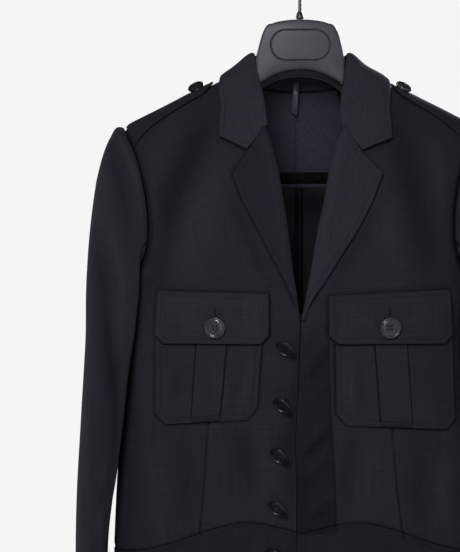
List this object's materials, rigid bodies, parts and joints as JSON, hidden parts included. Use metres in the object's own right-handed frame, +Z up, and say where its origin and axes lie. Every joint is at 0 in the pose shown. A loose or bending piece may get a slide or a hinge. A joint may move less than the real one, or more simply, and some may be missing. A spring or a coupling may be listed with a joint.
{
  "type": "officer blazer on a hanger",
  "caption": "Dark wool officer blazer hung on a moulded hanger, with notched lapels, epaulettes, flapped chest pockets and a short skirt below a waist seam.",
  "frame": {"origin": "the point inside the top of the hook that bears on the rail", "axes": "+X to the right of a viewer who faces the front, +Y to the back, +Z up"},
  "size_m": [0.527, 0.1998, 0.8538],
  "materials": {
    "wool": "fine plain-weave charcoal wool, pressed",
    "lining": "satin lining",
    "button": "polished horn-like plastic",
    "hanger_plastic": "satin moulded plastic",
    "bar_flock": "flocked so that trousers don't slide",
    "hook_steel": "dark plated steel"
  },
  "bodies": {
    "root": {"front_left": "wool", "front_right": "wool", "back_left": "wool", "back_right": "wool", "skirt_front_left": "wool", "skirt_front_right": "wool", "skirt_back_left": "wool", "skirt_back_right": "wool", "sleeve_top_left": "wool", "sleeve_top_right": "wool", "sleeve_under_left": "wool", "sleeve_under_right": "wool", "lapel_left": "wool", "lapel_right": "wool", "pocket_left": "wool", "pocket_right": "wool", "flap_left": "wool", "flap_right": "wool", "epaulette_left": "wool", "epaulette_right": "wool", "collar_fall": "wool", "collar_stand": "wool", "neck_facing": "wool", "back_lining": "lining", "hanging_loop": "lining", "button_pocket_left": "button", "button_pocket_right": "button", "button_epaulette_left": "button", "button_epaulette_right": "button", "button_front_1": "button", "button_front_2": "button", "button_front_3": "button", "button_front_4": "button", "button_front_5": "button", "hanger_body": "hanger_plastic", "hanger_face": "hanger_plastic", "trouser_bar": "bar_flock", "hook": "hook_steel"}
  },
  "joints": []
}
